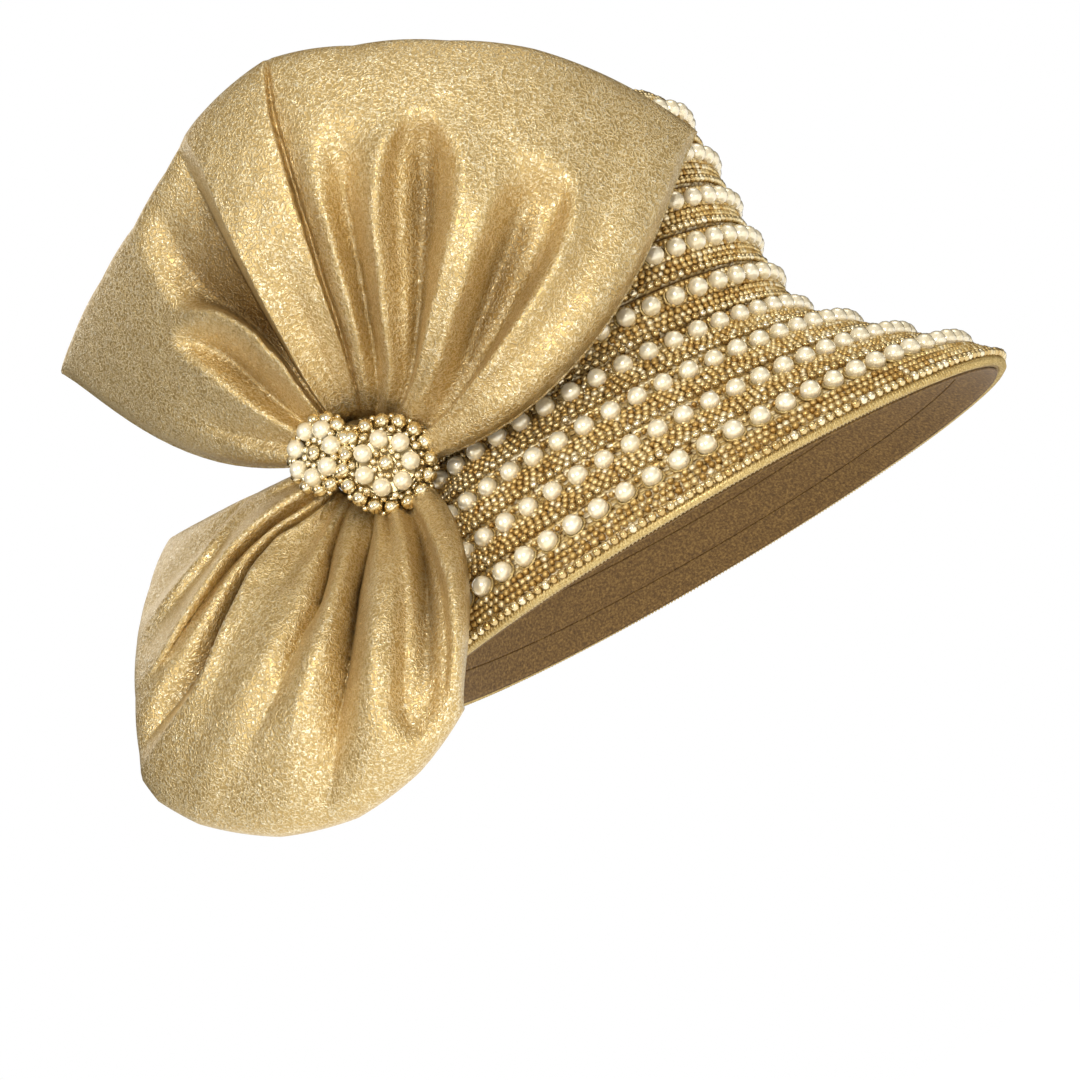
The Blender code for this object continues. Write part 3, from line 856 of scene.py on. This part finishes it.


# Lame, a weft of flat metal film on fine yarn, crinkled all over: a soft pale gold whose tone follows the
# crinkle, with bright specks painted on it as sparkle.
# Deep in the folds a dark brown is painted into the colour as shade, deepest where the cloth sinks lowest.
lame, tree = new_material("crinkled_gold_lame", Metallic=0.88, Roughness=0.36)
strokes = noise(tree, 760.0, 1.0, "RIDGED_MULTIFRACTAL", Roughness=0.5, Offset=1.0, Gain=1.0, Distortion=0.7)
crinkle = remap(tree, strokes, 0.5, 1.5)
# The film's uneven tone, and painted sparkle: the crinkle's crests are coloured nearly white
film_and_sparkle = ramp(tree, crinkle, (0.0, "#C1A56D"), (0.4, "#D1B680"), (0.7, "#E4D2A5"), (0.92, "#FCF3DA"))
# Painted shade: the lamé turns dark brown where the cloth lies deep in its folds
fold_shade = remap(tree, attribute(tree, "painted_fold_shade"), 0.42, 0.95, 0.0, 0.92)
crumple = bump(tree, noise(tree, 60.0, 4.0), 0.4, 2.5)
paint(
    tree, Base_Color=mix(tree, fold_shade, film_and_sparkle, colour("#664B22")),
    Roughness=remap(tree, crinkle, 0.2, 0.9, 0.42, 0.26),
    Normal=bump(tree, crinkle, 0.8, 0.3, Normal=crumple),
)

upper_mesh = loop_mesh("upper_loop_cloth", UPPER, upper_depth, 11)
upper_loop = add_piece("upper_loop_cloth", upper_mesh, lame, "gold_lame", "upper_loop", thickness=CLOTH)


# Lower loop of the bow
# The same lame, a narrower piece, laid double and gathered into the knot from below.
# It hangs out over the brim beside the face, with a deep rounded hollow at its inner side.

LOWER_FOLDS = (
    (0.0, (0, 40, 51, 64, 75, 91, 100), (4, 8, 35, 100, 130, 170, 190), (100, 75, 50, 40, 40, 50, 60)),
    (0.2, (0, 40, 51, 64, 82, 94, 100), (20, 30, 75, 150, 195, 225, 235), (95, 100, 110, 115, 110, 100, 95)),
    (0.0, (0, 20, 33, 45, 60, 75, 90, 100), (60, 60, 80, 120, 180, 220, 260, 270),
     (60, 60, 75, 80, 80, 70, 80, 85)),
    (0.1, (0, 20, 33, 47, 61, 83, 100), (130, 140, 155, 180, 235, 305, 320),
     (90, 110, 115, 110, 110, 100, 90)),
    (0.3, (0, 12, 24, 33, 47, 55, 65, 83, 100), (200, 200, 198, 199, 213, 235, 262, 310, 335),
     (30, 20, 10, 15, 35, 50, 65, 80, 85)),
    (0.0, (0, 14, 27, 40, 50, 60, 70, 85, 100), (235, 232, 212, 224, 250, 280, 308, 330, 345),
     (80, 80, 75, 70, 70, 72, 72, 75, 80)),
    (0.3, (0, 14, 27, 40, 49, 59, 66, 73, 86, 100), (285, 268, 238, 262, 300, 337, 362, 380, 390, 397),
     (30, 12, 0, 0, 0, 0, 3, 6, 20, 45)),
    (0.7, (0, 14, 27, 40, 49, 59, 66, 73, 86, 100), (310, 296, 266, 296, 335, 370, 393, 408, 414, 420),
     (80, 95, 105, 120, 125, 125, 122, 120, 110, 95)),
    (0.0, (0, 7, 16, 23, 35, 50, 75, 100), (360, 360, 365, 365, 380, 410, 460, 470),
     (60, 60, 65, 75, 100, 110, 100, 100)),
    (0.0, (0, 10, 30, 50, 66, 85, 100), (395, 405, 450, 465, 490, 510, 520),
     (90, 95, 105, 115, 115, 110, 100)),
    (0.9, (0, 7, 15, 26, 33, 45, 57, 68, 100), (420, 425, 455, 500, 520, 523, 540, 550, 560),
     (30, 25, 20, 20, 35, 60, 85, 100, 100)),
    (0.1, (0, 7, 19, 29, 43, 57, 72, 90, 100), (500, 500, 535, 556, 573, 590, 625, 650, 660),
     (80, 95, 105, 110, 120, 120, 115, 105, 100)),
    (0.8, (0, 7, 20, 30, 43, 54, 70, 86, 100), (630, 628, 610, 615, 640, 662, 690, 723, 740),
     (30, 10, 2, 2, 10, 25, 45, 72, 90)),
    (0.1, (0, 10, 21, 33, 47, 60, 72, 84, 90, 95, 100),
     (660, 665, 676, 690, 715, 745, 770, 822, 855, 895, 935),
     (80, 90, 110, 120, 122, 122, 122, 128, 128, 120, 110)),
    (0.4, (0, 10, 17, 24, 33, 47, 60, 72, 84, 90, 95, 100),
     (705, 710, 718, 732, 738, 748, 768, 790, 842, 873, 910, 942),
     (40, 45, 60, 95, 110, 105, 105, 110, 118, 118, 112, 105)),
    (0.0, (0, 12, 24, 36, 47, 60, 72, 82, 88, 92, 96, 100),
     (750, 757, 775, 782, 792, 808, 828, 862, 885, 907, 930, 948),
     (80, 95, 90, 72, 55, 50, 50, 55, 68, 90, 103, 102)),
    (0.0, (0, 20, 31, 45, 57, 69, 80, 86, 92, 97, 100),
     (835, 835, 838, 848, 862, 880, 903, 915, 933, 945, 953), (30, 5, 0, 5, 10, 16, 28, 48, 80, 100, 100)),
    (0.0, (0, 20, 31, 45, 57, 72, 84, 90, 95, 100), (860, 865, 873, 893, 912, 935, 948, 953, 957, 960),
     (35, 30, 30, 30, 35, 42, 58, 80, 100, 100)),
    (0.2, (0, 10, 20, 30, 51, 72, 86, 94, 100), (880, 885, 895, 905, 945, 972, 982, 982, 980),
     (80, 90, 105, 110, 115, 125, 130, 120, 105)),
)
LOWER = Loop(
    knot_angles=(160.5, 312),
    reaches=(
        (163, 96), (168, 99.5), (176, 105.5), (187, 118), (196, 131), (203, 145), (206, 152), (210, 155),
        (217, 155), (230, 150), (242, 141), (253, 128), (264, 112),
    ),
    folds=LOWER_FOLDS,
    fullness=22,
    fine=((0.19, 0.42), (0.78, 0.84)),
)
LEAN_OUT = 88  # the most that the brim can push it out
LEAN_HEIGHT = 60  # fall in which most of that is reached
LEAN_POWER = 4  # how fast it begins beside the knot
FALL_BACK = 0.5  # for each millimetre sideways
FALL_BACK_ROUND = 20  # rounding of the middle


def lower_depth(across, height, share):
    """The lower loop is pushed out by the brim and falls back beside it."""
    lean = LEAN_OUT * (1 - np.exp((height - KNOT[1]) / LEAN_HEIGHT)) * (1 - (1 - share) ** LEAN_POWER)
    sideways = np.hypot(across - KNOT[0], FALL_BACK_ROUND) - FALL_BACK_ROUND
    return KNOT[2] + lean - FALL_BACK * sideways


lower_mesh = loop_mesh("lower_loop_cloth", LOWER, lower_depth, 12)
lower_loop = add_piece("lower_loop_cloth", lower_mesh, lame, "gold_lame", "lower_loop", thickness=CLOTH)


# Knot
# A short band of the same lame, wound round both loops where they are gathered, and sewn behind.
# Its pleats run from front to back; the brooch covers most of it.

KNOT_SIZE = (16, 16, 18)  # half its size across, up and out
KNOT_SIDES = 96
KNOT_STEPS = 40
KNOT_ENDS = 0.02  # left open at each end, in radians, and then filled
KNOT_THREADS = (60, 30)
KNOT_PLEATS = 11
PLEAT_DEPTH = 0.05
PLEAT_SWAY = 1.5

around = turns_round(KNOT_SIDES)
up_down = np.linspace(KNOT_ENDS, math.pi - KNOT_ENDS, KNOT_STEPS)[:, None]
waves = 0.5 + 0.5 * np.cos(KNOT_PLEATS * around + PLEAT_SWAY * np.cos(up_down))
side = np.sin(up_down) * (1 - PLEAT_DEPTH * waves * np.sin(up_down))
half_across, half_up, half_out = KNOT_SIZE
knot_points = bow_points(
    KNOT[0] + half_across * side * np.cos(around), KNOT[1] + half_up * side * np.sin(around),
    KNOT[2] - half_out * np.cos(up_down),
)
knot_mesh = grid_mesh("knot_band", knot_points, closed_round=True, scale=KNOT_THREADS)
ends = bmesh.new()
ends.from_mesh(knot_mesh)
bmesh.ops.holes_fill(ends, edges=[edge for edge in ends.edges if edge.is_boundary])
bmesh.ops.recalc_face_normals(ends, faces=ends.faces)
ends.to_mesh(knot_mesh)
ends.free()
add_piece("knot_band", knot_mesh, lame, "gold_lame", "knot_wrap")


# Brooch
# Two flowers on domed metal seats, pinned through the knot, one facing front and one to the side. Each has a
# mirror bead in its middle, seven pearls round it, an outer ring of mirror beads, and gold beads between.

# A flower: its place and the way it faces, from the knot's middle, its seat's radius, and its mirror beads
Flower = namedtuple("Flower", "name place faces seat_radius mirrors")
FLOWERS = (
    Flower("front_flower", (7.0, -10.1, 18.6), (0, 0, 1), 14, 16),
    Flower("side_flower", (-12.1, 6.9, 11.9), (-0.50, 0.29, 0.816), 11.5, 13),
)
FLOWER_PEARLS = 7
FULL_SEAT = 14  # the seat's radius that the rings of beads are given for
DOME_HEIGHT = 3.0
SEAT_TIERS = 3
TIER_STEP = 1.1  # each tier's foot is this much narrower than the last one's
TIER_TAPER = 0.8
SEAT_SIDES = 40
# A ring of beads: which beads, how many (None for as many as the flower's mirror beads), how far it is turned
# towards the next bead, its radius and height, and a bead's radius, sides and rounds
BeadRing = namedtuple("BeadRing", "beads count turn radius height bead sides rounds")
FLOWER_RINGS = (
    BeadRing("pearls", FLOWER_PEARLS, 0, 9.6, DOME_HEIGHT + PEARL_RADIUS + PEARL_LIFT, 3.75, 24, 14),
    BeadRing("mirrors", 1, 0, 0, 6.6, 3.2, 20, 12),
    BeadRing("gold", 10, 0, 5.1, 6.6, 1.55, 10, 6),
    BeadRing("gold", FLOWER_PEARLS, 0.5, 13.2, 6.8, 1.7, 10, 6),
    BeadRing("gold", 26, 0, 13.7, 3.4, 1.45, 10, 6),
    BeadRing("mirrors", None, 0, 16.9, 3.6, 3.2, 20, 12),
    BeadRing("gold", None, 0.5, 19.0, 1.6, 1.4, 10, 6),
)
NARROWS_FROM = 10  # rings wider than this narrow with the seat


def flower_matrix(flower):
    """From a flower's own measures to its place on the knot: +Z leaves the flower's face."""
    knot_turn = Matrix((ACROSS, UP, OUT)).transposed().to_4x4()
    facing = Vector(flower.faces).normalized().to_track_quat("Z", "Y").to_matrix().to_4x4()
    place = Matrix.Translation(Vector(flower.place) * MM)
    return Matrix.Translation(bow_points(*KNOT)) @ knot_turn @ place @ facing


def add_beads(shape, matrix, flower, ring):
    """Adds one of a flower's rings of beads."""
    radius = ring.radius * (flower.seat_radius / FULL_SEAT if ring.radius > NARROWS_FROM else 1)
    count = ring.count or flower.mirrors
    angles = (np.arange(count) + ring.turn) * 2 * math.pi / count
    places = np.stack([radius * np.cos(angles), radius * np.sin(angles), np.full(count, ring.height)], -1)
    for place in places * MM:
        bmesh.ops.create_uvsphere(
            shape, u_segments=ring.sides, v_segments=ring.rounds, radius=ring.bead * MM,
            matrix=matrix @ Matrix.Translation(Vector(place)),
        )


def mesh_of(shape, name, rounded=True):
    """The mesh of a bmesh, which is then freed."""
    mesh = bpy.data.meshes.new(name)
    shape.to_mesh(mesh)
    shape.free()
    if rounded:
        mesh.shade_smooth()
    return mesh


# Cast alloy with a gold wash, matt as it was cast, and duller in patches
gold_wash, tree = new_material("gold_washed_alloy", Metallic=1.0, Roughness=0.4)
rubbed = noise(tree, 420.0, 3.0)
paint(
    tree, Base_Color=ramp(tree, rubbed, (0.3, "#D0B274"), (0.7, "#F3E3B5")),
    Roughness=remap(tree, rubbed, 0.3, 0.7, 0.32, 0.5),
)

# Mirror-coated glass beads, champagne gold: each shows the room, a little clouded by its coat
mirror_bead, tree = new_material("mirror_coated_glass_bead", Metallic=1.0, Roughness=0.12)
cloud = noise(tree, 260.0, 1.0)
paint(
    tree, Base_Color=ramp(tree, cloud, (0.35, "#D3BE90"), (0.65, "#F2E8CC")),
    Roughness=remap(tree, cloud, 0.35, 0.65, 0.08, 0.18),
)

shapes = {part: bmesh.new() for part in ("seats", "pearls", "mirrors", "gold")}
for flower in FLOWERS:
    matrix = flower_matrix(flower)
    for tier in range(SEAT_TIERS):
        foot = DOME_HEIGHT * tier / SEAT_TIERS
        bmesh.ops.create_cone(
            shapes["seats"], cap_ends=True, segments=SEAT_SIDES, depth=DOME_HEIGHT / SEAT_TIERS * MM,
            radius1=(flower.seat_radius - tier * TIER_STEP) * MM,
            radius2=(flower.seat_radius - tier * TIER_STEP - TIER_TAPER) * MM,
            matrix=matrix @ Matrix.Translation((0, 0, (foot + DOME_HEIGHT / (2 * SEAT_TIERS)) * MM)),
        )
    for ring in FLOWER_RINGS:
        add_beads(shapes[ring.beads], matrix, flower, ring)
add_piece(
    "brooch_pearls", mesh_of(shapes["pearls"], "brooch_pearls"), pearl_coat, "brooch_pearl",
    *(f"{flower.name}_pearl_{number}" for flower in FLOWERS for number in range(1, FLOWER_PEARLS + 1)),
)
add_piece(
    "brooch_seats", mesh_of(shapes["seats"], "brooch_seats", rounded=False), gold_wash, "antique_gold",
    *(flower.name + "_base" for flower in FLOWERS),
)
add_piece("brooch_gold_beads", mesh_of(shapes["gold"], "brooch_gold_beads"), mirror_bead, "antique_gold")
add_piece(
    "brooch_mirror_beads", mesh_of(shapes["mirrors"], "brooch_mirror_beads"), mirror_bead, "antique_gold",
    *(flower.name + "_centre_bead" for flower in FLOWERS),
)


# Studio
# A pale floor that fades into a white room, the photograph's camera, and soft boxes in front of the hat, on
# both sides, above and behind. The floor, the room and the soft boxes are in metres.

FLOOR_HEIGHT = -0.45
FLOOR_RADIUS = 6.0
FLOOR_SIDES = 64
FADE_FROM, FADE_TO = 0.7, 1.8
WHITE = (1.0, 1.0, 1.0, 1.0)
ROOM_LIGHT_FROM = (-0.415, -0.663, 0.622)  # the brightest side of the room, as a direction from the hat
ROOM_STRENGTH = 0.94

floor_shape = bmesh.new()
floor_place = Matrix.Translation((0, 0, FLOOR_HEIGHT))
bmesh.ops.create_circle(
    floor_shape, cap_ends=True, segments=FLOOR_SIDES, radius=FLOOR_RADIUS, matrix=floor_place
)
floor_mesh = mesh_of(floor_shape, "studio_floor", rounded=False)
floor = add_object("studio_floor", floor_mesh)
paper, tree = new_material("white_paper_sweep", Roughness=0.9, Emission_Strength=0.6)
paint(tree, Base_Color=ramp(tree, noise(tree, 300.0, 2.0), (0.3, "#F3F3F1"), (0.7, "#FAFAF8")))
flat_place = value_of(
    tree, "ShaderNodeVectorMath", {0: place_in(tree), 1: (1.0, 1.0, 0.0)}, operation="MULTIPLY"
)
from_middle = add_node(tree, "ShaderNodeVectorMath", {0: flat_place}, operation="LENGTH").outputs["Value"]
fade = remap(tree, from_middle, FADE_FROM, FADE_TO, interpolation_type="SMOOTHSTEP")
glow = value_of(tree, "ShaderNodeEmission", {"Color": WHITE, "Strength": 1.0})
sheet = tree.nodes["Principled BSDF"].outputs["BSDF"]
mixed = value_of(tree, "ShaderNodeMixShader", {"Fac": fade, 1: sheet, 2: glow})
tree.links.new(mixed, tree.nodes["Material Output"].inputs["Surface"])
floor_mesh.materials.append(paper)

room = bpy.data.worlds.new("white_room")
bpy.context.scene.world = room
room.use_nodes = True
tree = room.node_tree
tree.nodes.clear()
seen = add_node(tree, "ShaderNodeLightPath").outputs["Is Camera Ray"]
white = value_of(tree, "ShaderNodeBackground", {"Color": WHITE, "Strength": 1.0})
way = place_in(tree, "Generated")
towards = add_node(tree, "ShaderNodeVectorMath", {0: way, 1: ROOM_LIGHT_FROM}, operation="DOT_PRODUCT")
shade = ramp(
    tree, remap(tree, towards.outputs["Value"], -1.0, 1.0),
    (0.0, "#221E19"), (0.35, "#4C4436"), (0.6, "#9C9180"), (0.8, "#D3CCBF"), (1.0, "#F6F3EC"),
)
soft = value_of(tree, "ShaderNodeBackground", {"Color": shade, "Strength": ROOM_STRENGTH})
both = value_of(tree, "ShaderNodeMixShader", {"Fac": seen, 1: soft, 2: white})
add_node(tree, "ShaderNodeOutputWorld", {"Surface": both})

CAMERA_RISE = math.radians(-7.6)
CAMERA_ROLL = math.radians(30)
CAMERA_DISTANCE = 1200
RIM_SHOWS_AT = (64.08, -2.86)  # how far the rim's middle is right of and above the picture's middle
LENS = 98
SENSOR = 36
forward = -(OUT * math.cos(CAMERA_RISE) + UP * math.sin(CAMERA_RISE))
level_up = np.cross(ACROSS, forward)
right = math.cos(CAMERA_ROLL) * ACROSS - math.sin(CAMERA_ROLL) * level_up
upright = math.sin(CAMERA_ROLL) * ACROSS + math.cos(CAMERA_ROLL) * level_up
rim_middle = BOW_ZERO - SEAT_HEIGHT * UP
spot = rim_middle - (forward * CAMERA_DISTANCE + right * RIM_SHOWS_AT[0] + upright * RIM_SHOWS_AT[1])
lens = bpy.data.cameras.new("camera")
lens.lens = LENS
lens.sensor_width = SENSOR
lens.clip_start, lens.clip_end = 0.05, 30
camera = add_object("camera", lens)
camera_turn = Matrix((right, upright, -forward)).transposed().to_4x4()
camera.matrix_world = Matrix.Translation(spot * MM) @ camera_turn
bpy.context.scene.camera = camera

# A soft box: where it stands as the camera sees the hat (right, up, towards the camera), its width and power
SoftBox = namedtuple("SoftBox", "name place width power")
SOFT_BOXES = (
    SoftBox("key", (-0.25, 0.45, 1.5), 0.3, 8.5),
    SoftBox("left", (-1.25, -0.05, 0.9), 0.6, 5),
    SoftBox("fill", (1.25, 0.15, 1.05), 0.8, 2.5),
    SoftBox("top", (0.15, 1.45, -0.1), 0.7, 3),
    SoftBox("back", (-0.9, 0.3, -1.1), 0.7, 2.5),
)
for box in SOFT_BOXES:
    lamp = bpy.data.lights.new(box.name, "AREA")
    lamp.shape = "SQUARE"
    lamp.size = box.width
    lamp.energy = box.power
    light = add_object(box.name, lamp)
    light.location = Vector(right * box.place[0] + upright * box.place[1] - forward * box.place[2])
    light.rotation_mode = "QUATERNION"
    light.rotation_quaternion = (-light.location).to_track_quat("-Z", "Y")

bpy.context.scene.view_settings.view_transform = "Standard"
